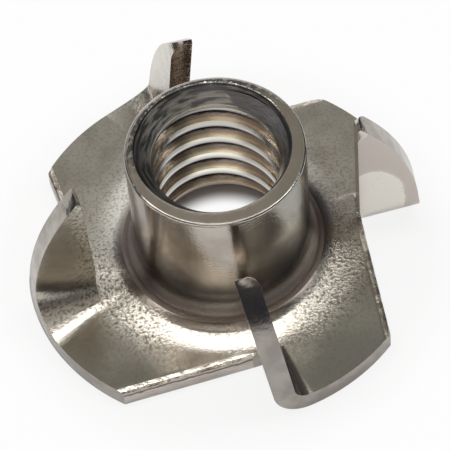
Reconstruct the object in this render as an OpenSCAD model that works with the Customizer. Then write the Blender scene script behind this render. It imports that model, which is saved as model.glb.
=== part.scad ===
// Four-claw tee nut for 5/16-18 screws, pressed from one piece of sheet.
// A drawn barrel stands on a round flange, and four claws are lanced out of the
// flange and bent up around it. The underside of the flange is z = 0, and the
// barrel's axis is +Z.

/* [Barrel] */
// Overall height, from the underside of the flange to the lip
barrel_h = 9.35; // [7:0.05:16]
// Outside diameter
barrel_d = 9.27; // [9:0.01:9.8]
// Diameter of the bore at the crests of the thread
bore_d = 6.6; // [6:0.05:6.8]
// Radius of the drawn corner between the barrel and the flange, on the upper side
draw_r = 1; // [0.6:0.05:1.3]
// Diameter of the mouth at the lip
mouth_d = 8.12; // [7.7:0.02:8.2]
// Diameter where the shallow mouth turns down into the countersink
throat_d = 7.12; // [7.0:0.02:7.3]
// Depth of that turn below the lip
throat_depth = 0.15; // [0.1:0.01:0.25]
// Angle between the countersink's wall and the axis
sink_angle = 42; // [30:1:50]
// How far the mouth and the countersink are off the axis, along X and along Y
mouth_shift = [-0.13, 0.22]; // [-0.25:0.01:0.25]
// Radius of the rolled outer edge of the lip
lip_round = 0.13; // [0.05:0.01:0.2]

/* [Flange] */
// Diameter of the round blank's edge
flange_d = 21.1; // [20:0.1:24]
// Thickness of the sheet
sheet_t = 1.13; // [0.9:0.01:1.3]
// Diameter of the low crown that the draw leaves round the barrel
crown_d = 14.4; // [13.2:0.1:14.6]
// Slope of the crown where it runs into the drawn corner
crown_slope = 18; // [8:1:24]

/* [Claws] */
// Distance from the axis to the inner end of each slit
notch_r = 7.39; // [7.3:0.01:8]
// Angle of the first slit's inner end, anticlockwise from +X
notch_at = 6.6; // [4:0.1:9]
// Direction of the first slit, from its inner end to the rim
slit_at = -78.6; // [-82:0.1:-72]
// Angle of the radial line where the first claw's bend starts
bend_at = 22.2; // [20:0.1:25]
// Distance from the axis to the point of the cone that each claw is bent round
cone_point = 4.9; // [4.6:0.05:5.1]
// Half angle of that cone
cone_half = 11.8; // [8:0.1:13]
// Width of the blunt end of each claw
tip_w = 0.3; // [0.1:0.05:0.6]
// How much of the rim is cut back at each claw's tip, in degrees
tip_cut = 4.1; // [0:0.1:6]

/* [As formed] */
// Bend of each claw, clockwise from the one at +X
claw_bend = [92.4, 85.1, 89.9, 86.3]; // [80:0.1:98]
// Turn of each bend line about the axis
bend_turn = [-5.2, 0, 3.1, 2.1]; // [-6:0.1:6]
// Turn of each slit about its inner end
slit_turn = [-5.5, 0.9, 3.9, 0.7]; // [-6:0.1:6]
// Turn of each slit's inner end about the axis
notch_turn = [0.6, 0.8, -1, -0.3]; // [-1.5:0.1:1.5]
// Radius that shearing has rolled over each claw's tip, on the sheet's upper face
tip_roll = [0.65, 0.7, 0.3, 0.7]; // [0.2:0.05:0.8]

/* [Hidden] */
$fn = 72;
steel = [0.62, 0.60, 0.57];
rim_r = flange_d/2;
barrel_r = barrel_d/2;
bore_r = bore_d/2;
// Centre of the drawn corner; the underside rolls into the bore round a larger radius
draw_x = barrel_r + draw_r;
roll_r = draw_x - bore_r;
// The crown is a wide arc, tangent to the flange at its foot and to the corner at its top
crown_r = draw_r + (crown_d/2 - draw_x)/sin(crown_slope);
draw_z = sheet_t + crown_r - (crown_r - draw_r)*cos(crown_slope);
crown_top = [crown_d/2 - crown_r*sin(crown_slope), sheet_t + crown_r*(1 - cos(crown_slope))];
// The countersink runs on below the bore's edge, because it is off the axis
sink_in = bore_r - 0.5;
sink_h = (throat_d/2 - sink_in)/tan(sink_angle);
// Bending draws the claws' sheet thinner by this much at each face
thinning = 0.01;
claw_t = sheet_t - 2*thinning;
// Along a bend line, from the cone's point: the slit, the claw's root, and the blank's edge
slit_in = 2.5;
root_in = 2.65;
root_out = rim_r - cone_point;
// The blank is bent with this much to spare, and the rim is trimmed after
spare = 0.5;
// Bending stretches the outer edge of the claws this far beyond the blank's
stretch = 0.05;
// Each claw's sheet runs back into the flange by this much
tongue = 0.4;
// The rolled edge of a tip bites this far into the faces on both sides of it
roll_in = 0.05;

function turned(p, a) = [p.x*cos(a) - p.y*sin(a), p.x*sin(a) + p.y*cos(a)];
function polar(r, a) = r*[cos(a), sin(a)];

// Where a line from p along angle a leaves a circle of radius r about the axis
function circle_hit(p, a, r) =
    let (d = polar(1, a), b = p*d)
    p + d*(sqrt(b*b - p*p + r*r) - b);

// Claw k's own frame has its bend line along X and the barrel's axis at the origin
function ray(k) = bend_at + bend_turn[k];
function notch(k) = polar(notch_r, notch_at + notch_turn[k] - ray(k));
function slit_dir(k) = slit_at + slit_turn[k] - ray(k);

// Angle of sheet that claw k's bend takes up, about the cone's point
function used(k) = claw_bend[k]*sin(cone_half);
// A point of the flat blank, in the plane of claw k once it is bent
function on_claw(p, k) = turned(p - [cone_point, 0], used(k));
function tip(k) =
    let (corner = circle_hit(notch(k), slit_dir(k), rim_r))
    on_claw(polar(rim_r, atan2(corner.y, corner.x) + tip_cut), k);

// Half of the drawn section, from the lip down and out to the rim
module drawn_section() {
    difference() {
        union() {
            square([rim_r + 2*spare, sheet_t]);
            square([barrel_r, barrel_h - lip_round]);
            square([barrel_r - lip_round, barrel_h]);
            translate([barrel_r - lip_round, barrel_h - lip_round]) circle(lip_round);
            difference() {
                square([crown_top.x, draw_z]);
                translate([draw_x, draw_z]) circle(draw_r);
            }
            difference() {
                square([crown_d/2, crown_top.y]);
                translate([crown_d/2, sheet_t + crown_r]) circle(crown_r);
            }
        }
        // Bore, and the roll of the underside into it
        translate([0, -1]) square([bore_r, barrel_h + 2]);
        difference() {
            translate([0, -1]) square([draw_x, roll_r + 1]);
            translate([draw_x, roll_r]) circle(roll_r);
        }
    }
}

// The part of the flange that claw k is bent out of
module claw_gap(k) {
    n = notch(k);
    polygon([
        n,
        [cone_point + slit_in, 0],
        [2*rim_r, 0],
        turned([2*rim_r, 0], slit_dir(k)/2),
        n + polar(2*rim_r, slit_dir(k))
    ]);
}

// Turns the claw's own plane down by the bend, about the cone that it is bent round
module bent(k) {
    rotate([0, 90 - cone_half, 0]) rotate([0, 0, -claw_bend[k]]) children();
}

// Conical bend, and the sheet it grows out of; the cone's point is the origin
module bend(k) {
    s = sin(cone_half);
    c = cos(cone_half);
    out = root_out + spare;
    translate([root_in, 0, -claw_t]) cube([out - root_in - 0.1, tongue, claw_t]);
    bent(k) rotate_extrude(angle = claw_bend[k])
        polygon([
            [root_in*s, root_in*c],
            [out*s, out*c],
            [out*s + claw_t*c, out*c - claw_t*s],
            [root_in*s + claw_t*c, root_in*c - claw_t*s]
        ]);
}

// Direction from the claw's tip back along the slit
function back(k) = let (d = on_claw(notch(k), k) - tip(k)) atan2(d.y, d.x);

// Flat part of the claw: the blank's rim outside, the slit inside, and a blunt tip
module claw_outline(k) {
    t = tip(k);
    intersection() {
        rotate(used(k)) translate([-cone_point, 0]) circle(rim_r + stretch);
        polygon([
            [root_in, 0],
            [root_out + 1, 0],
            [root_out + 1, t.y],
            t + polar(tip_w, back(k) - 90),
            t + polar(tip_w, back(k)),
            on_claw(notch(k), k)
        ]);
    }
}

// What the rolled edge takes off the upper face at the tip, square to the blunt end
module tip_edge(k) {
    r = tip_roll[k];
    translate(tip(k) + polar(tip_w, back(k))) rotate(back(k) - 135) rotate([90, 0, 90])
        linear_extrude(4, center = true) difference() {
            translate([-1, -r]) square([1 + r, r + 1]);
            translate([r - roll_in, roll_in - r]) circle(r);
        }
}

module claw(k) {
    bent(k) rotate([0, cone_half - 90, 0]) difference() {
        translate([0, 0, -claw_t]) linear_extrude(claw_t) claw_outline(k);
        tip_edge(k);
    }
}

module on_bend_line(k) {
    rotate(ray(k) - 90*k) translate([cone_point, 0, sheet_t - thinning]) children();
}

// Shallow mouth and countersink, from the lip at z = 0 down
module mouth() {
    rotate_extrude() polygon([
        [0, 0],
        [mouth_d/2, 0],
        [throat_d/2, -throat_depth],
        [sink_in, -throat_depth - sink_h],
        [0, -throat_depth - sink_h]
    ]);
}

module tee_nut() {
    color(steel) difference() {
        union() {
            intersection() {
                cylinder(h = barrel_h, r = rim_r);
                union() {
                    difference() {
                        rotate_extrude() drawn_section();
                        for (k = [0:3])
                            rotate(ray(k) - 90*k)
                                translate([0, 0, -1]) linear_extrude(sheet_t + 2) claw_gap(k);
                    }
                    for (k = [0:3]) on_bend_line(k) bend(k);
                }
            }
            for (k = [0:3]) on_bend_line(k) claw(k);
        }
        translate([mouth_shift.x, mouth_shift.y, barrel_h]) mouth();
    }
}

tee_nut();
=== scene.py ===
from bisect import bisect_right
from math import atan2, cos, degrees, hypot, pi, radians, sin, sqrt, tan

import bmesh
import bpy
from mathutils import Matrix, Vector, noise
from mathutils.geometry import interpolate_bezier


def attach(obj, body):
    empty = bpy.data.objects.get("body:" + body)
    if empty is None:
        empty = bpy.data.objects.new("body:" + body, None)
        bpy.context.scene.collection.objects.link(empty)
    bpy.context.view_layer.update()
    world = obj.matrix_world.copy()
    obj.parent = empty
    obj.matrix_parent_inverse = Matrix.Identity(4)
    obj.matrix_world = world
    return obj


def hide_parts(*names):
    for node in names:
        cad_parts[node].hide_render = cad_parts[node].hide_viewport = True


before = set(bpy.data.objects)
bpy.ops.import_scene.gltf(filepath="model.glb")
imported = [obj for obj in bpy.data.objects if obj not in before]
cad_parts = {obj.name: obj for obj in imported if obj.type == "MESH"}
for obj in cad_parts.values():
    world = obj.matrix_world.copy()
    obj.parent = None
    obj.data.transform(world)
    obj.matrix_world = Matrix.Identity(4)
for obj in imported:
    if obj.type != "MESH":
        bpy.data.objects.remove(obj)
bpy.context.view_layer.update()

# The nut is drawn in millimetres, and its finished mesh is brought to metres.
MM = 0.001
UP = Vector((0, 0, 1))

# Sheet: its thickness, the blank's radius, and how widely its upper and lower edges are rounded
SHEET = 1.13
RIM = 10.55
ROLLED_EDGE = 0.14
SHARP_EDGE = 0.05

# Barrel: radius, height, the lip's rounding, and the radius of the drawn corner at its foot
BARREL = 4.635
HEIGHT = 9.35
LIP_ROUND = 0.13
CORNER = 1.0
# The low crown that the draw leaves round the barrel
CROWN_R = 7.2
CROWN_SLOPE = 18
# A low ledge round the barrel falls away between these radii; it is relief in the finish
FOOT = (5.3, 5.9)
FOOT_RISE = 0.09

# Mouth: radius and rounding at the lip, the depth at which it has narrowed to the bore, and how
# far it is off the axis at the lip
MOUTH = 4.06
MOUTH_ROUND = 0.04
MOUTH_DEPTH = 0.7
MOUTH_SHIFT = Vector((-0.13, 0.22, 0))
# Its wall sags this far below a straight line, this share of the way down
SAG = 0.06
SAG_AT = 0.35

# Thread, 5/16-18, right-handed, with a ridge's crest at CREST_Z on the side of +Y
BORE = 3.3
THREAD_R = 3.97
PITCH = 25.4 / 18
FLANK = radians(30)
CREST_Z = 8.5
# The tap's turns, about how many pitches below that crest it starts, and the heights it ends at
TAP_TURNS = 10
TAP_START = 8
TAP_ENDS = (-0.47, HEIGHT + 0.43)
# The tap's roots lie this far inside the bore, and the ridges' flanks start this far outside it
TAP_BURIED = 0.06
RIDGE_CORNER = 0.02

# Claws, clockwise from the one at +X: angles in degrees
NOTCH_R = 7.39
NOTCH_AT = 6.6
SLIT_AT = -78.6
BEND_AT = 22.2
CONE_POINT = 4.9
CONE_HALF = radians(11.8)
SLIT_IN = 2.5
TIP_CUT = 4.1
CLAW_BEND = (92.4, 85.1, 89.9, 86.3)
BEND_TURN = (-5.2, 0, 3.1, 2.1)
SLIT_TURN = (-5.5, 0.9, 3.9, 0.7)
NOTCH_TURN = (0.6, 0.8, -1, -0.3)
TIP_ROLL = (0.65, 0.7, 0.3, 0.7)
# A claw's blunt end takes this much off the slit's side, and this share of it off the rim
TIP_W = 0.3
RIM_SHARE = 0.7
# The bends begin this far before the bend lines, and run on this far into the claws' flats, in
# radians about the cone's point
GATHER = (0.08, -0.05, 0.25, 0.3)
RUN_ON = (0, -0.05, 0.12, 0)
# How far the handles of a bend's curve reach towards its corner
BEND_HANDLE = 0.55

# Shearing has drawn the flange down along each slit: DROOP scales the depth, which has faded out
# this far in and grows over this length from the notch
DROOP = 0.2
DROOP_IN = 0.5
DROOP_RAMP = 1.2
# The depth wavers about this share of DROOP, by less than WAVER times it, in waves this close
DROOP_SHARE = 0.7
WAVER = 0.8
WAVES_PER_MM = 1.9
# The flange's edge along each slit is painted bright, as a highlight, over this width
DRAWN_EDGE = 0.3
# Each bend lifts the flange beside it, as far as this angle past the bend line in radians, more
# and more from this radius out to the crown's foot
LIFT_SPAN = 0.7
LIFT_FROM = 5.6
# Only what is lower than this moves with the flange
FLANGE_TOP = 3

# Pieces that the mesh is made in: round the barrel, along a claw's rim, over a bend, over a tip's
# rolled edge, beside a bend and beside a slit
STEPS = 144
RIM_STEPS = 16
BEND_STEPS = 26
ROLL_STEPS = 6
LIFT_STEPS = 6
DROOP_STEPS = 5
# Open edges over this length are cut this many times
LONG_EDGE = 2
LONG_EDGE_CUTS = 13
# Edges under this length bound the walls of the slits and the rim, and points this near the
# blank's radius are on the rim
SHORT_EDGE = 1
RIM_BAND = 0.1
# Faces are divided beside a bend from this much before it and this far from the cone's point,
# and beside a slit within this distance of the notch
CUT_BEFORE = 0.1
CUT_FROM = 1
CUT_NEAR_NOTCH = 5
# Corners sharper than these are rounded, and shaded as corners
ROUNDED_OVER = radians(25)
SHARP_OVER = radians(35)
# Distances within which points count as the same
NEAR = 0.01
CROWN_JOIN = 2e-3
TAP_JOIN = 1e-4
CUT_JOIN = 1e-5

# Places of the finishes in the nut's list of materials
(ON_SHEET, ON_RIM, ON_BARREL, ON_THREAD,
 ON_FLANGE_SLIT, ON_CLAW_SLIT, ON_UNDERSIDE, ON_DRAWN_EDGE) = range(8)

# Camera: distances in metres, the sensor's width in millimetres, and the picture's size, centre
# and focal length in its own pixels
PICTURE = 450
CENTRE = (220.51, 209.52)
FOCAL = 3079.9
SENSOR = 36
LOOKS_DOWN = radians(55.41)
ROLLED = radians(-5.329)
CAMERA_AWAY = 0.16
AIM = Vector((0, 0, 0.004))

# Floor and soft box, in metres, with the box's height over the horizon as an angle
FLOOR = 0.6
BOX_SIZE = (1.2, 0.15)
BOX_AWAY = 0.6
BOX_HEIGHT = radians(83)
BOX_LEVEL = 4.3


def polar(r, angle):
    return Vector((r * cos(radians(angle)), r * sin(radians(angle)), 0))


def angle_of(p):
    return degrees(atan2(p.y, p.x))


def arc(centre, r, start, end, steps):
    """Points (r, z) along an arc, both ends included."""
    turns = [radians(start + (end - start) * i / steps) for i in range(steps + 1)]
    return [(centre[0] + r * cos(a), centre[1] + r * sin(a)) for a in turns]


def smooth(x, low, high):
    """0 below low and 1 above high, with a smooth ramp."""
    t = min(max((x - low) / (high - low), 0), 1)
    return t * t * (3 - 2 * t)


def cone_ruling(b):
    """A line of the bend's cone after turning by b, and the direction across it."""
    s, c = sin(CONE_HALF), cos(CONE_HALF)
    up = Vector((-s, 0, c))
    side = Vector((0, -1, 0))
    run = c * Vector((c, 0, s)) + s * (sin(b) * side - cos(b) * up)
    return run, sin(b) * up + cos(b) * side


class Claw:
    """One claw: its lines on the flat blank, with its bend line along +X, and how it bends."""

    def __init__(self, k):
        ray = BEND_AT + BEND_TURN[k]
        self.number = k + 1
        self.turn = radians(ray - 90 * k)
        self.bend = radians(CLAW_BEND[k])
        self.used = self.bend * sin(CONE_HALF)
        self.gather = GATHER[k]
        self.run_on = RUN_ON[k]
        self.roll = TIP_ROLL[k]
        self.notch = polar(NOTCH_R, NOTCH_AT + NOTCH_TURN[k] - ray)
        slit = polar(1, SLIT_AT + SLIT_TURN[k] - ray)
        along = self.notch.dot(slit)
        reach = sqrt(along**2 - self.notch.length_squared + RIM**2) - along
        self.corner = self.notch + reach * slit
        self.away = Vector((slit.y, -slit.x, 0))
        self.slit_end = Vector((CONE_POINT + SLIT_IN, 0, 0))

        tip = polar(RIM, angle_of(self.corner) + TIP_CUT)
        back = (self.notch - tip).normalized()
        self.blunt_rim = polar(RIM, angle_of(tip) + degrees(RIM_SHARE * TIP_W / RIM))
        self.blunt_slit = tip + TIP_W * back
        end = (self.blunt_slit - self.blunt_rim).normalized()
        self.inward = Vector((-end.y, end.x, 0))
        if self.inward.dot(back) < 0:
            self.inward.negate()
        self.ease()

    def placed(self, p):
        return Matrix.Rotation(self.turn, 4, "Z") @ p

    def local(self, p):
        return Matrix.Rotation(-self.turn, 4, "Z") @ p

    def outline(self):
        """The claw's corners after the bend line, from the rim round to the notch."""
        span = angle_of(self.blunt_rim)
        rim = [polar(RIM, span * i / RIM_STEPS) for i in range(1, RIM_STEPS + 1)]
        return rim + [self.blunt_slit, self.notch.copy()]

    def about_cone(self, p):
        """Distance from the cone's point, and angle past the bend line."""
        x, y = p.x - CONE_POINT, -p.y
        return hypot(x, y), atan2(y, x)

    def spoke(self, angle):
        """The upright plane through the cone's point at this angle past the bend line."""
        apex = self.placed(Vector((CONE_POINT, 0, 0)))
        return apex, self.placed(Vector((sin(angle), cos(angle), 0)))

    def tip_planes(self):
        """Upright planes across the tip, where its rolled edge is to be divided."""
        inward = self.placed(self.inward)
        turns = [pi / 2 * i / ROLL_STEPS for i in range(1, ROLL_STEPS + 1)]
        places = [self.blunt_slit + self.inward * self.roll * (1 - cos(a)) for a in turns]
        return [(self.placed(p), inward) for p in places]

    def slit_planes(self):
        """Upright planes along the slit, where the flange's drawn edge is to be divided."""
        notch, away = self.placed(self.notch), self.placed(self.away)
        steps = range(1, DROOP_STEPS + 1)
        return [(notch + away * DROOP_IN * i / DROOP_STEPS, away) for i in steps]

    def in_plane(self, over):
        """A line of the claw's plane at an angle past the cone, and the direction across it."""
        end, across = cone_ruling(self.bend)
        return cos(over) * end + sin(over) * across, cos(over) * across - sin(over) * end

    def ease(self):
        """Works out the bend's lines: wide at the flange, and tight where they meet the claw."""
        start = polar(1, degrees(self.gather))
        ahead = Vector((start.y, -start.x, 0))
        end, across = self.in_plane(self.run_on)
        reach = tan(CONE_HALF) * tan(self.bend / 2)
        leave = start + BEND_HANDLE * (self.gather + reach) * ahead
        arrive = end - BEND_HANDLE * (reach + self.run_on) * across
        rays = interpolate_bezier(start, leave, arrive, end, BEND_STEPS + 1)
        self.rays = [ray.normalized() for ray in rays]
        steps = [0] + [a.angle(b) for a, b in zip(self.rays, self.rays[1:])]
        span = self.gather + self.used + self.run_on
        self.angles = [span * sum(steps[:i + 1]) / sum(steps) - self.gather
                       for i in range(BEND_STEPS + 1)]
        middle = [(b - a).cross(ray).normalized()
                  for a, ray, b in zip(self.rays, self.rays[1:], self.rays[2:])]
        self.faces = [UP.copy()] + middle + [across.cross(end)]

    def ruling(self, away):
        """The line from the cone's point at this angle on the blank, and the normal along it."""
        if away >= self.used + self.run_on:
            return self.in_plane(away - self.used)[0], self.faces[-1]
        i = max(bisect_right(self.angles, away) - 1, 0)
        part = (away - self.angles[i]) / (self.angles[i + 1] - self.angles[i])
        ray = self.rays[i].lerp(self.rays[i + 1], part).normalized()
        return ray, self.faces[i].lerp(self.faces[i + 1], part).normalized()

    def rolled(self, p):
        """Point p of the flat blank, let down where shearing has rolled the tip over."""
        short = self.roll - (p - self.blunt_slit).dot(self.inward)
        if short <= 0:
            return p
        drop = self.roll - sqrt(max(self.roll**2 - short**2, 0))
        return Vector((p.x, p.y, p.z * (SHEET - drop) / SHEET))

    def folded(self, p):
        """Where a point of the flat blank goes when the claw is bent up."""
        far, away = self.about_cone(p)
        if away <= -self.gather:
            return p
        ray, face = self.ruling(away)
        return Vector((CONE_POINT, 0, SHEET)) + far * ray + (p.z - SHEET) * face

    def drooped(self, p):
        """Where a point of the flange goes, as shearing has drawn its edge down along the slit."""
        inner = (p - self.notch).dot((self.corner - self.notch).normalized())
        beyond = (p - self.notch).dot(self.away)
        if beyond < -NEAR or beyond > DROOP_IN or inner < 0:
            return p
        depth = DROOP * smooth(inner, 0, DROOP_RAMP) * (1 - beyond / DROOP_IN)**3
        depth *= DROOP_SHARE + WAVER * noise.noise(p * WAVES_PER_MM)
        return p - UP * depth * p.z / SHEET

    def lifted(self, p):
        """Where a point beside the claw goes, as the bend lifts the flange round it."""
        far, away = self.about_cone(p)
        if not -self.gather < away < LIFT_SPAN:
            return p
        at = min(away, 0)
        flat = Vector((CONE_POINT + far * cos(at), -far * sin(at), p.z))
        fade = smooth(p.xy.length, LIFT_FROM, CROWN_R) * (1 - smooth(away, 0, LIFT_SPAN))
        return p + fade * (self.folded(flat) - flat)


CLAWS = [Claw(k) for k in range(4)]


def flat_blank(bm, tag):
    """The blank outside the crown, its claws still flat, as faces in the plane z = 0."""
    step = 360 / STEPS
    inner = [bm.verts.new(polar(CROWN_R, i * step)) for i in range(STEPS)]
    starts = [bm.verts.new(c.placed(c.slit_end)) for c in CLAWS]
    rims = [bm.verts.new(c.placed(polar(RIM, 0))) for c in CLAWS]
    for k, claw in enumerate(CLAWS):
        outline = [bm.verts.new(claw.placed(p)) for p in claw.outline()]
        bm.faces.new([rims[k]] + outline + [starts[k]])[tag] = claw.number
        nxt = (k + 1) % len(CLAWS)
        corner = claw.placed(claw.corner)
        a, b = angle_of(corner), degrees(CLAWS[nxt].turn)
        span = (a - b) % 360
        n = round(span / step)
        loop = [starts[k], bm.verts.new(claw.placed(claw.notch)), bm.verts.new(corner)]
        loop += [bm.verts.new(polar(RIM, a - span * i / n)) for i in range(1, n)]
        loop += [rims[nxt], starts[nxt]]
        i, j = (round(degrees(c.turn) / step) for c in (CLAWS[nxt], claw))
        j += STEPS if j < i else 0
        loop += [inner[m % STEPS] for m in range(i, j + 1)]
        bm.faces.new(loop)
    slits = [e for e in bm.edges if e.is_boundary and e.calc_length() > LONG_EDGE]
    bmesh.ops.subdivide_edges(bm, edges=slits, cuts=LONG_EDGE_CUTS)


def flat_finish(f, tag):
    """The finish of a face of the pressed blank."""
    if abs(f.normal.z) >= 0.5:
        return ON_SHEET if f.normal.z > 0 else ON_UNDERSIDE
    # The wall of a claw's root that is in one piece has no short edges, and takes the rim's finish
    short = [e for e in f.edges if e.calc_length() < SHORT_EDGE]
    if all(v.co.xy.length >= RIM - RIM_BAND for e in short for v in e.verts):
        return ON_RIM
    return ON_CLAW_SLIT if f[tag] else ON_FLANGE_SLIT


def pressed_blank(bm, tag):
    """The flat blank in its full thickness, with its upper and lower edges rounded."""
    flat_blank(bm, tag)
    made = bmesh.ops.extrude_face_region(bm, geom=list(bm.faces))["geom"]
    top = [g for g in made if isinstance(g, bmesh.types.BMVert)]
    bmesh.ops.translate(bm, vec=UP * SHEET, verts=top)
    on_crown = [f for f in bm.faces
                if all(abs(v.co.xy.length - CROWN_R) < NEAR for v in f.verts)]
    bmesh.ops.delete(bm, geom=on_crown, context="FACES")
    bmesh.ops.recalc_face_normals(bm, faces=list(bm.faces))
    for f in bm.faces:
        f.material_index = flat_finish(f, tag)

    roots = [c.placed(p).xy for c in CLAWS for p in (c.slit_end, c.notch)]

    def at_root(v):
        return any((v.co.xy - p).length < NEAR for p in roots)

    def is_rim(e):
        if len(e.link_faces) != 2 or all(at_root(v) for v in e.verts):
            return False
        return e.calc_face_angle() > ROUNDED_OVER

    for level, width, segments in ((SHEET, ROLLED_EDGE, 3), (0, SHARP_EDGE, 2)):
        rim = [e for e in bm.edges
               if is_rim(e) and all(abs(v.co.z - level) < NEAR for v in e.verts)]
        bmesh.ops.bevel(bm, geom=rim, offset=width, offset_type="OFFSET", segments=segments,
                        profile=0.5, affect="EDGES", clamp_overlap=True, material=-1)


def verts_of(faces):
    return {v for f in faces for v in f.verts}


def cut_faces(bm, chosen, planes):
    """Divides the chosen faces along each plane in turn."""
    for point, normal in planes:
        faces = [f for f in bm.faces if chosen(f)]
        geom = verts_of(faces) | {e for f in faces for e in f.edges} | set(faces)
        bmesh.ops.bisect_plane(bm, geom=list(geom), dist=CUT_JOIN, plane_co=point,
                               plane_no=normal)


def cut_for_bending(bm, tag, claw):
    """Divides a claw and the flange beside it where they will bend, and tags the drawn edge."""
    def on_claw(f):
        return f[tag] == claw.number

    def beside_bend(f):
        places = (claw.about_cone(claw.local(v.co)) for v in f.verts)
        return not f[tag] and any(
            far > CUT_FROM and -claw.gather - CUT_BEFORE < away < LIFT_SPAN
            for far, away in places)

    def beside_slit(f):
        places = (claw.local(v.co) - claw.notch for v in f.verts)
        return not f[tag] and any(
            -NEAR < p.dot(claw.away) < DROOP_IN and p.xy.length < CUT_NEAR_NOTCH
            for p in places)

    spokes = [claw.spoke(a) for a in claw.angles if a > 0]
    cut_faces(bm, on_claw, spokes + claw.tip_planes())
    beside = [a for a in claw.angles if a < 0]
    beside += [LIFT_SPAN * i / LIFT_STEPS for i in range(1, LIFT_STEPS + 1)]
    cut_faces(bm, beside_bend, [claw.spoke(a) for a in beside])
    cut_faces(bm, beside_slit, claw.slit_planes())
    for f in filter(beside_slit, bm.faces):
        p = claw.local(f.calc_center_median()) - claw.notch
        past_notch = p.dot(claw.corner - claw.notch) > 0
        if past_notch and p.dot(claw.away) < DRAWN_EDGE and f.normal.z > 0.3:
            f.material_index = ON_DRAWN_EDGE


def bent_claws(bm, tag):
    """Folds the claws up, and draws the flange down beside the slits and up beside the bends."""
    moved = set()
    for claw in CLAWS:
        cut_for_bending(bm, tag, claw)
        for v in verts_of(f for f in bm.faces if f[tag] == claw.number):
            v.co = claw.placed(claw.folded(claw.rolled(claw.local(v.co))))
            moved.add(v)
    for v in bm.verts:
        if v not in moved and v.co.z < FLANGE_TOP:
            for claw in CLAWS:
                v.co = claw.placed(claw.lifted(claw.drooped(claw.local(v.co))))


def barrel_profile():
    """(r, z) from the crown's foot up over the lip, down the bore and out along the underside."""
    slope = radians(CROWN_SLOPE)
    wide = CORNER + (CROWN_R - BARREL - CORNER) / sin(slope)
    high = SHEET + wide - (wide - CORNER) * cos(slope)
    roll = BARREL + CORNER - BORE
    sag = ((1 - SAG_AT) * MOUTH + SAG_AT * BORE, HEIGHT - SAG_AT * MOUTH_DEPTH - SAG)
    return (
        arc((CROWN_R, SHEET + wide), wide, 270, 270 - CROWN_SLOPE, 8)[:-1]
        + arc((BARREL + CORNER, high), CORNER, 270 - CROWN_SLOPE, 180, 12)
        + arc((BARREL - LIP_ROUND, HEIGHT - LIP_ROUND), LIP_ROUND, 0, 90, 4)
        + [(MOUTH + MOUTH_ROUND, HEIGHT), (MOUTH, HEIGHT - MOUTH_ROUND / 4),
           (MOUTH - MOUTH_ROUND, HEIGHT - MOUTH_ROUND * 5 / 4), sag,
           (BORE, HEIGHT - MOUTH_DEPTH)]
        + arc((BARREL + CORNER, roll), roll, 180, 270, 14)
        + [(CROWN_R, 0)]
    )


def spun(bm, profile, **how):
    """Spins a line of points (r, z) about the barrel's axis."""
    points = [bm.verts.new((r, 0, z)) for r, z in profile]
    edges = [bm.edges.new(pair) for pair in zip(points, points[1:])]
    bmesh.ops.spin(bm, geom=points + edges, cent=(0, 0, 0), axis=UP, **how)


def drawn_barrel(bm):
    """The barrel and the crown round it, with the mouth moved off the axis."""
    before = set(bm.faces)
    spun(bm, barrel_profile(), angle=2 * pi, steps=STEPS, use_merge=True)
    made = [f for f in bm.faces if f not in before]
    for f in made:
        inside = f.calc_center_median().xy.length < FOOT[0]
        f.material_index = ON_BARREL if inside else ON_SHEET
    for v in verts_of(made):
        if v.co.z > HEIGHT - MOUTH_DEPTH and v.co.xy.length < MOUTH + 1.5 * MOUTH_ROUND:
            v.co += MOUTH_SHIFT * (1 - (HEIGHT - v.co.z) / MOUTH_DEPTH)


def thread_tap():
    """The solid that cuts the thread: a screw whose roots are a little inside the bore."""
    bm = bmesh.new()
    low = CREST_Z - PITCH / 4 - TAP_START * PITCH
    middle = low + PITCH / 2
    root_r = BORE - TAP_BURIED
    base_r = BORE + RIDGE_CORNER
    half_crest = PITCH / 20
    half_base = half_crest + (THREAD_R - base_r) * tan(FLANK)
    profile = [
        (root_r, low), (root_r, middle - half_base - TAP_BURIED),
        (base_r, middle - half_base), (THREAD_R, middle - half_crest),
        (THREAD_R, middle + half_crest), (base_r, middle + half_base),
        (root_r, middle + half_base + TAP_BURIED), (root_r, low + PITCH),
    ]
    spun(bm, profile, angle=2 * pi * TAP_TURNS, dvec=UP * PITCH / STEPS,
         steps=STEPS * TAP_TURNS)
    bmesh.ops.remove_doubles(bm, verts=list(bm.verts), dist=TAP_JOIN)
    for z, keep in zip(TAP_ENDS, (1, -1)):
        geom = list(bm.verts) + list(bm.edges) + list(bm.faces)
        cut = bmesh.ops.bisect_plane(bm, geom=geom, dist=CUT_JOIN, plane_co=UP * z,
                                     plane_no=UP * keep, clear_inner=True)["geom_cut"]
        end = [g for g in cut if isinstance(g, bmesh.types.BMEdge)]
        bmesh.ops.contextual_create(bm, geom=end)
    bmesh.ops.recalc_face_normals(bm, faces=list(bm.faces))
    for f in bm.faces:
        f.material_index = ON_THREAD
    return bm


def as_object(bm, name, materials):
    mesh = bpy.data.meshes.new(name)
    bm.to_mesh(mesh)
    bm.free()
    for m in materials:
        mesh.materials.append(m)
    made = bpy.data.objects.new(name, mesh)
    bpy.context.scene.collection.objects.link(made)
    return made


def cut_with(piece, cutter):
    """Takes the cutter's shape out of the piece, and throws the cutter away."""
    cut = piece.modifiers.new("cut", "BOOLEAN")
    cut.object = cutter
    cut.operation = "DIFFERENCE"
    cut.solver = "MANIFOLD"
    whole = piece.evaluated_get(bpy.context.evaluated_depsgraph_get())
    mesh = bpy.data.meshes.new_from_object(whole)
    piece.modifiers.clear()
    piece.data = mesh
    bpy.data.objects.remove(cutter)


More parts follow.
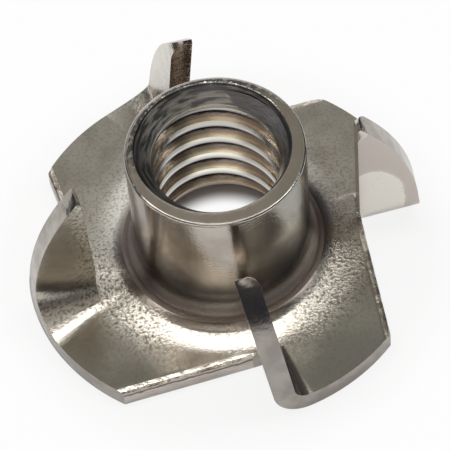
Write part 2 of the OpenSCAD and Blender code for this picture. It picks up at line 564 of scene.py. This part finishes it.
class Wire:
    """A shader socket that Python's arithmetic works on, one Math node for each step."""

    def __init__(self, finish, socket):
        self.finish = finish
        self.socket = socket

    def __add__(self, other):
        return self.finish.maths("ADD", self, other)

    def __sub__(self, other):
        return self.finish.maths("SUBTRACT", self, other)

    def __rsub__(self, other):
        return self.finish.maths("SUBTRACT", other, self)

    def __mul__(self, other):
        return self.finish.maths("MULTIPLY", self, other)

    def __truediv__(self, other):
        return self.finish.maths("DIVIDE", self, other)

    __radd__ = __add__
    __rmul__ = __mul__

    def between(self, low, high):
        """0 below low and 1 above high, with a smooth ramp."""
        return self.finish.node(
            "ShaderNodeMapRange", {"interpolation_type": "SMOOTHSTEP"},
            {"Value": self, "From Min": low, "From Max": high})


class Finish:
    """A node material, or the world, and what is needed to wire one up."""

    def __init__(self, owner):
        owner.use_nodes = True
        self.owner = owner
        self.tree = owner.node_tree
        self.tree.nodes.clear()

    def add(self, kind, settings=None, inputs=None):
        made = self.tree.nodes.new(kind)
        for name, value in (settings or {}).items():
            setattr(made, name, value)
        for name, value in (inputs or {}).items():
            if isinstance(value, Wire):
                self.tree.links.new(value.socket, made.inputs[name])
            else:
                made.inputs[name].default_value = value
        return made

    def node(self, kind, settings=None, inputs=None, output=0):
        return Wire(self, self.add(kind, settings, inputs).outputs[output])

    def maths(self, operation, *values):
        return self.node("ShaderNodeMath", {"operation": operation}, dict(enumerate(values)))

    def mix(self, factor, a, b):
        return self.node("ShaderNodeMix", {"data_type": "RGBA"}, {0: factor, 6: a, 7: b}, 2)

    def layered(self, colour, *layers):
        """A colour with others laid over it in turn, each as strongly as its mask says."""
        for mask, over in layers:
            colour = self.mix(mask, colour, over)
        return colour

    def place(self):
        """Object coordinates in millimetres."""
        metres = self.node("ShaderNodeTexCoord", output="Object")
        return self.node("ShaderNodeVectorMath", {"operation": "SCALE"},
                         {0: metres, "Scale": 1 / MM})

    def parts(self, place):
        split = self.add("ShaderNodeSeparateXYZ", inputs={0: place})
        return [Wire(self, axis) for axis in split.outputs]

    def radius(self, x, y):
        return self.maths("SQRT", x * x + y * y)

    def grain(self, place, scale, detail=3, rough=0.5, squeeze=None):
        """Noise, finer along the axes where squeeze is over 1 and longer where it is under 1."""
        if squeeze:
            place = self.node("ShaderNodeVectorMath", {"operation": "MULTIPLY"},
                              {0: place, 1: squeeze})
        return self.node("ShaderNodeTexNoise", inputs={
            "Vector": place, "Scale": scale, "Detail": detail, "Roughness": rough})

    def smears(self, place):
        """Long streaks up the barrel's walls."""
        return self.grain(place, 1.6, 4, 0.55, (1, 1, 0.12))

    def rings(self, place):
        """Fine level rings, as turning leaves them in the mouth."""
        return self.grain(place, 9, 2, squeeze=(0.1, 0.1, 1))

    def ray(self, kind):
        return self.node("ShaderNodeLightPath", output=kind)

    def over_ridge(self, x, y, z, r):
        """How far a point is above the middle of its ridge of thread, from -1 to 1."""
        phase = (z - CREST_Z + PITCH / 4) * (2 * pi / PITCH)
        return (self.maths("SINE", phase) * x - self.maths("COSINE", phase) * y) / r

    def bump(self, height, distance, under=None):
        inputs = {"Height": height, "Distance": distance * MM, "Strength": 1}
        if under:
            inputs["Normal"] = under
        return self.node("ShaderNodeBump", inputs=inputs)

    def foot_ledge(self, r):
        return self.bump(1 - r.between(*FOOT), FOOT_RISE)

    def metal(self, colour, rough, normal):
        shader = self.node("ShaderNodeBsdfPrincipled", inputs={
            "Base Color": colour, "Metallic": 1, "Roughness": rough, "Normal": normal})
        self.add("ShaderNodeOutputMaterial", inputs={"Surface": shader})
        return self.owner


def rgb(r, g, b):
    return (r, g, b, 1)


def sheet_finish():
    """Rolled sheet: fine pits and cloudy patches, coarser on the crown and over the bends, with
    painted shade at the front and round the barrel's foot, and a painted highlight on the crown's
    left.
    """
    m = Finish(bpy.data.materials.new("sheet"))
    place = m.place()
    x, y, z = m.parts(place)
    front, left = y * -1, x * -1
    r = m.radius(x, y)
    clouds = m.grain(place, 0.55, 4)
    pits = m.grain(place, 6, 4, 0.65)
    fine = m.grain(place, 18, 2)

    foot = 1 - r.between(*FOOT)
    crown = r.between(5.2, 5.7) * (1 - r.between(6.8, 8.8))
    bends = z.between(1.18, 1.4) * (1 - z.between(2, 3.2)) * r.between(6.6, 7.4)
    rubbed = (x * x).between(4, 20) * front.between(-1.5, 2.5)
    polished = crown * front.between(5, 6.5) * (1 - x.between(-1, 1.5))
    coarse = crown * (0.6 + rubbed * 1.8) + bends * 1.6 - polished * 0.35
    colour = m.layered(
        rgb(0.52, 0.48, 0.42),
        (clouds.between(0.35, 0.65), rgb(0.63, 0.59, 0.52)),
        # Painted shade: the flange is painted darker towards the front on either side, and just
        # right of the barrel's front
        (front.between(4.5, 8.5) * (x * x).between(2, 12) * 0.85, rgb(0.32, 0.3, 0.26)),
        (x.between(2, 5) * front.between(0, 3) * 0.5, rgb(0.32, 0.32, 0.28)),
        # Painted highlight: the crown is painted lighter on its left
        (left.between(3, 5) * crown * 0.7, rgb(0.8, 0.76, 0.67)),
        (pits.between(0.48, 0.62) * (0.3 + coarse * 0.35), rgb(0.24, 0.21, 0.17)),
        # Painted shade: round the barrel's foot the sheet is painted dark brown, darker still on
        # the right
        (foot * 0.85, m.mix(x.between(1.5, 4), rgb(0.2, 0.16, 0.13), rgb(0.1, 0.09, 0.08))))
    rough = 0.1 + clouds * 0.07 + pits * 0.07 + crown * 0.04 + bends * 0.14
    spread = m.bump(1 - r.between(5.3, 7.35), 0.12, m.foot_ledge(r))
    relief = m.bump(pits * (0.12 + coarse) + fine * 0.25, 0.014, spread)
    return m.metal(colour, rough, relief)


def sheared_finish():
    """The sheared rim: soft clouds and fine streaks, with painted shade up the front claw."""
    m = Finish(bpy.data.materials.new("sheared_edge"))
    place = m.place()
    _, y, z = m.parts(place)
    streaks = m.grain(place, 3.5, 4, 0.6)
    clouds = m.grain(place, 0.8, 2)
    front_claw = (y * -1).between(7.5, 8.5) * z.between(0.8, 2.5)
    colour = m.layered(
        rgb(0.33, 0.3, 0.27),
        (clouds.between(0.35, 0.65), rgb(0.45, 0.42, 0.38)),
        # Painted shade: the rim is painted darker up the front claw
        (front_claw * 0.4, rgb(0.2, 0.18, 0.17)))
    return m.metal(colour, 0.1 + streaks * 0.1, m.bump(streaks, 0.012))


def torn_finish(name, dull, clean):
    """A slit's walls: a dark torn line near the upper edge, over a streaked smooth band, with
    painted shade up the front claw.
    """
    m = Finish(bpy.data.materials.new(name))
    place = m.place()
    _, y, z = m.parts(place)
    jag = m.grain(place, 1.6, 4, 0.6)
    streaks = m.grain(place, 1.2, squeeze=(1, 1, 6))
    line = z + (jag - 0.5) * 0.35
    torn = line.between(0.66, 0.76) * (1 - line.between(0.84, 0.92))
    burr = z.between(0.95, 1.1) * 4
    front_claw = (y * -1).between(5, 6.5) * z.between(1.5, 3)
    colour = m.layered(
        dull,
        (streaks.between(0.35, 0.65), clean),
        (torn * 0.8, rgb(0.14, 0.11, 0.09)),
        # Painted shade: the walls are painted darker up the front claw
        (front_claw * 0.7, rgb(0.12, 0.1, 0.09)))
    rough = 0.14 + streaks * 0.1 + torn * 0.2
    return m.metal(colour, rough, m.bump(streaks + torn + jag * burr, 0.012))


def drawn_edge_finish():
    """The flange's edge along a slit: beaded where the punch has dragged it, with the beads painted
    bright as a highlight.
    """
    m = Finish(bpy.data.materials.new("drawn_edge"))
    place = m.place()
    beads = m.grain(place, 1.3, 3, 0.6)
    fine = m.grain(place, 6, 2)
    # Painted highlight: the beads are painted bright
    colour = m.mix(beads.between(0.42, 0.56), rgb(0.5, 0.44, 0.36), rgb(0.92, 0.87, 0.76))
    return m.metal(colour, 0.2 + fine * 0.2, m.bump(beads + fine * 0.2, 0.1))


def under_finish():
    """The sheet's lower face, which the claws turn outward: bright, with painted light on the right
    claw, and pinker beyond a ring about the claws' middles, with a dark line just inside it.
    """
    m = Finish(bpy.data.materials.new("under_face"))
    place = m.place()
    x, y, z = m.parts(place)
    pits = m.grain(place, 9, 3)
    clouds = m.grain(place, 0.45, 3)
    out, up = (m.radius(x, y) - 8) / 1.95, (z - 2.6) / 2.9
    edge = m.radius(out, up) + clouds * 0.3 + pits * 0.12
    # Pinker beyond a ring about each claw's middle, with a dark line just inside the ring
    beyond_ring = edge.between(1.16, 1.2)
    colour = m.layered(
        rgb(0.74, 0.71, 0.64),
        # Painted light: the right claw's face is painted lighter
        (x.between(6, 8), rgb(0.9, 0.87, 0.8)),
        (beyond_ring, rgb(0.62, 0.56, 0.52)),
        (edge.between(1.1, 1.16) * (1 - beyond_ring) * 0.5, rgb(0.36, 0.32, 0.28)),
        (pits.between(0.58, 0.72) * 0.3, rgb(0.5, 0.44, 0.4)))
    return m.metal(colour, 0.14 + clouds * 0.1, m.bump(pits, 0.006))


def barrel_finish():
    """Drawn barrel: smeared walls and a nicked lip, with painted shade at the foot, down the wall's
    sides and in the mouth, and painted highlights on the ridges.
    """
    m = Finish(bpy.data.materials.new("barrel"))
    place = m.place()
    x, y, z = m.parts(place)
    r = m.radius(x, y)
    smears = m.smears(place)
    rings = m.rings(place)
    clouds = m.grain(place, 0.6, 3)
    nicks = m.grain(place, 3, 2)
    pits = m.grain(place, 7, 2)

    foot = 1 - z.between(1.8, 2.9)
    lip = z.between(9.25, 9.33) * (1 - r.between(4.44, 4.5))
    back = y - x * 0.5
    off_axis = m.radius(x - MOUTH_SHIFT.x, y - MOUTH_SHIFT.y)
    mouth = z.between(8.3, 8.5) * (1 - off_axis.between(4.03, 4.08))
    # Painted shade: the mouth is painted nearly black, darkest on its left
    painted_mouth_shade = m.mix(x.between(-2.5, 0.5), rgb(0.07, 0.075, 0.07), rgb(0.13, 0.13, 0.135))
    wall = m.layered(
        rgb(0.72, 0.67, 0.61),
        (clouds.between(0.4, 0.65), rgb(0.58, 0.52, 0.46)),
        # Painted shade: the foot is painted brown, and nearly black where it meets the crown
        (foot * 0.85, rgb(0.33, 0.27, 0.22)),
        (r.between(4.95, 5.1), rgb(0.15, 0.12, 0.1)),
        (z.between(6, 8.2) * 0.3, rgb(0.4, 0.36, 0.32)),
        # Painted shade: the wall is painted darker on its right, and along its left edge
        (x.between(1.8, 3.4) * (1 - foot) * 0.6, rgb(0.32, 0.33, 0.3)),
        ((x * -1).between(3.5, 3.9) * (1 - lip) * 0.5, rgb(0.22, 0.19, 0.17)),
        (lip * 0.6, rgb(0.42, 0.35, 0.28)),
        (lip * back.between(0.5, 3) * nicks.between(0.36, 0.52) * 0.85, rgb(0.09, 0.1, 0.11)),
        (mouth * (0.6 + rings.between(0.4, 0.6) * 0.4), painted_mouth_shade))

    over = m.over_ridge(x, y, z, r)
    # Painted highlight and reflection: each ridge is painted bright above and dark blue below, as a
    # rounded crest would shine, and dimmer towards the top of the bore and the sides
    bright = m.layered(
        rgb(0.93, 0.88, 0.74),
        (z.between(4.5, 7.5), rgb(0.6, 0.54, 0.46)),
        ((x * x).between(0.4, 3) * 0.9, rgb(0.34, 0.32, 0.28)))
    ridge = m.layered(
        rgb(0.13, 0.13, 0.2),
        (over.between(-0.95, -0.5), rgb(0.56, 0.54, 0.48)),
        (over.between(-0.5, 0.4), bright))
    colour = m.mix(r.between(3.32, 3.36), ridge, wall)

    rough = 0.1 + smears * 0.14 + foot * 0.3 + mouth * 0.32
    beaded = r.between(4.46, 4.54) * 1.2 + lip * back.between(0, 2) * 2.5
    beads = z.between(9.15, 9.25) * beaded * nicks
    height = smears * 0.7 + pits * (0.3 + foot) + rings * mouth + beads
    return m.metal(colour, rough, m.bump(height, 0.02, m.foot_ledge(r)))


def thread_finish():
    """Thread: ridges painted bright above and dark below, a painted golden glint then brown down
    their flanks, and painted shade in the roots and where the thread runs out into the mouth.
    """
    m = Finish(bpy.data.materials.new("thread"))
    place = m.place()
    x, y, z = m.parts(place)
    r = m.radius(x, y)
    along = m.grain(place, 1.5, squeeze=(1, 1, 3))
    smears = m.smears(place)
    rings = m.rings(place)
    run_out = z.between(8.35, 8.6)
    # Painted highlight: bright on the ridges, dimmer towards the top of the bore and the sides
    bright = m.layered(
        rgb(0.84, 0.8, 0.69),
        (z.between(4.5, 7.5), rgb(0.5, 0.45, 0.39)),
        ((x * x).between(0.6, 4.5) * 0.85, rgb(0.34, 0.31, 0.27)))
    colour = m.layered(
        # Painted shade and glints: dark under the highlight, a golden glint and brown down the
        # flanks, dark roots, and the mouth's painted shade where the thread runs out
        rgb(0.1, 0.09, 0.1),
        (m.over_ridge(x, y, z, r).between(-0.1, 0.1), bright),
        (r.between(3.36, 3.44), rgb(0.6, 0.44, 0.25)),
        (r.between(3.44, 3.52), rgb(0.32, 0.27, 0.23)),
        (r.between(3.6, 3.75), rgb(0.13, 0.1, 0.09)),
        (run_out, rgb(0.14, 0.135, 0.135)))
    rough = 0.16 + along * 0.12 + run_out * (smears * 0.3 + 0.1)
    height = along + rings * run_out * 1.5 + smears * run_out * 2
    return m.metal(colour, rough, m.bump(height, 0.015))


def finishes():
    """The nut's materials, in the order of their places at the top of the script."""
    return [
        sheet_finish(), sheared_finish(), barrel_finish(), thread_finish(),
        torn_finish("flange_slit", rgb(0.56, 0.5, 0.45), rgb(0.7, 0.65, 0.6)),
        # Painted shade: the claws' slit walls are a darker copy of the flange's
        torn_finish("claw_slit", rgb(0.3, 0.24, 0.2), rgb(0.42, 0.35, 0.29)),
        under_finish(), drawn_edge_finish(),
    ]


def tee_nut():
    materials = finishes()
    bm = bmesh.new()
    tag = bm.faces.layers.int.new("claw")
    pressed_blank(bm, tag)
    drawn_barrel(bm)
    joint = [v for v in bm.verts if abs(v.co.xy.length - CROWN_R) < NEAR]
    bmesh.ops.remove_doubles(bm, verts=joint, dist=CROWN_JOIN)
    bent_claws(bm, tag)
    bmesh.ops.recalc_face_normals(bm, faces=list(bm.faces))
    nut = as_object(bm, "pressed_nut", materials)
    cut_with(nut, as_object(thread_tap(), "tap", materials))
    nut.data.transform(Matrix.Scale(MM, 4))
    for p in nut.data.polygons:
        p.use_smooth = True
    nut.data.set_sharp_from_angle(angle=SHARP_OVER)
    shade = nut.modifiers.new("shade", "WEIGHTED_NORMAL")
    shade.keep_sharp = True
    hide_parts("tee_nut")
    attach(nut, "root")


def floor():
    """White to the camera and in reflections, but shaded round the nut and under its wall."""
    bpy.ops.mesh.primitive_plane_add(size=FLOOR)
    made = bpy.context.object
    made.name = "floor"
    m = Finish(bpy.data.materials.new("floor"))
    x, y, _ = m.parts(m.place())
    r = m.radius(x, y)
    reflected = m.ray("Is Glossy Ray")
    seen = m.ray("Is Camera Ray") + reflected
    under = r.between(2.95, 4.05) * (1 - r.between(5, 6.5))
    near = (reflected * 0.54 + 0.12) * r.between(6.5, 8) * (1 - r.between(10.5, 14))
    paper = m.node("ShaderNodeBsdfDiffuse", inputs={"Color": rgb(0.95, 0.95, 0.95)})
    white = m.node("ShaderNodeEmission", inputs={"Color": rgb(1, 1, 1), "Strength": 1})
    shader = m.node("ShaderNodeMixShader", inputs={
        0: seen * (1 - under) * (0.96 - near), 1: paper, 2: white})
    m.add("ShaderNodeOutputMaterial", inputs={"Surface": shader})
    made.data.materials.append(m.owner)


def camera():
    """Looks down on the nut from the front, rolled a little about its own line of sight."""
    data = bpy.data.cameras.new("camera")
    made = bpy.data.objects.new("camera", data)
    bpy.context.scene.collection.objects.link(made)
    data.sensor_width = SENSOR
    data.lens = FOCAL * SENSOR / PICTURE
    data.shift_x = (PICTURE / 2 - CENTRE[0]) / PICTURE
    data.shift_y = (CENTRE[1] - PICTURE / 2) / PICTURE
    data.clip_start = 0.01
    forward = Vector((0, cos(LOOKS_DOWN), -sin(LOOKS_DOWN)))
    right = Vector((1, 0, 0))
    up = right.cross(forward)
    x = cos(ROLLED) * right + sin(ROLLED) * up
    y = cos(ROLLED) * up - sin(ROLLED) * right
    turn = Matrix((x, y, -forward)).transposed()
    made.matrix_world = Matrix.Translation(AIM - CAMERA_AWAY * forward) @ turn.to_4x4()
    bpy.context.scene.camera = made


def room():
    """The world by direction: plain walls, a pale sweep behind, a warm window and a dim ceiling."""
    world = Finish(bpy.data.worlds.new("studio"))
    bpy.context.scene.world = world.owner
    x, y, z = world.parts(world.node("ShaderNodeTexCoord", output="Generated"))
    height = world.maths("ARCSINE", z)
    level = world.radius(x, y)
    side = x / level
    ahead = y / level * -1

    def above(low, high):
        """0 under one height over the horizon and 1 over the other, in degrees."""
        return height.between(radians(low), radians(high))

    # The sweep is behind and the window in front, both turned a little to the left
    straight, aside = 0.985, 0.17
    sweep = (ahead * -straight - side * aside).between(0.72, 0.94)
    window = (ahead * straight - side * aside).between(0.85, 0.97) * above(27, 38)
    low = 1 - above(36, 50)
    walls = world.layered(
        rgb(0.46, 0.41, 0.37),
        (side.between(0.1, 0.4), rgb(0.45, 0.44, 0.4)),
        (side.between(0.7, 0.92), rgb(0.1, 0.105, 0.095)))
    walls = world.mix(ahead.between(-0.5, -0.15), rgb(0.1, 0.085, 0.07), walls)
    light = world.layered(
        rgb(0.07, 0.07, 0.085),
        (above(14, 34), rgb(0.12, 0.11, 0.1)),
        (above(40, 54), walls),
        (window, rgb(1, 0.95, 0.89)),
        (above(58, 72), rgb(0.15, 0.135, 0.12)),
        (sweep * low, rgb(0.95, 0.97, 1)),
        (sweep * (1 - low), rgb(0.37, 0.365, 0.34)),
        (world.ray("Is Camera Ray"), rgb(1, 1, 1)))
    shader = world.node("ShaderNodeBackground", inputs={"Color": light, "Strength": 1})
    world.add("ShaderNodeOutputWorld", inputs={"Surface": shader})


def soft_box():
    """A wide lamp overhead, a little behind the nut."""
    box = bpy.data.lights.new("soft_box", "AREA")
    box.shape = "RECTANGLE"
    box.size, box.size_y = BOX_SIZE
    box.energy = BOX_LEVEL * pi * box.size * box.size_y
    lamp = bpy.data.objects.new("soft_box", box)
    bpy.context.scene.collection.objects.link(lamp)
    toward = Vector((0, cos(BOX_HEIGHT), sin(BOX_HEIGHT)))
    lamp.location = toward * BOX_AWAY
    lamp.rotation_euler = toward.to_track_quat("Z", "Y").to_euler()


tee_nut()
floor()
camera()
room()
soft_box()
bpy.context.scene.view_settings.view_transform = "Standard"
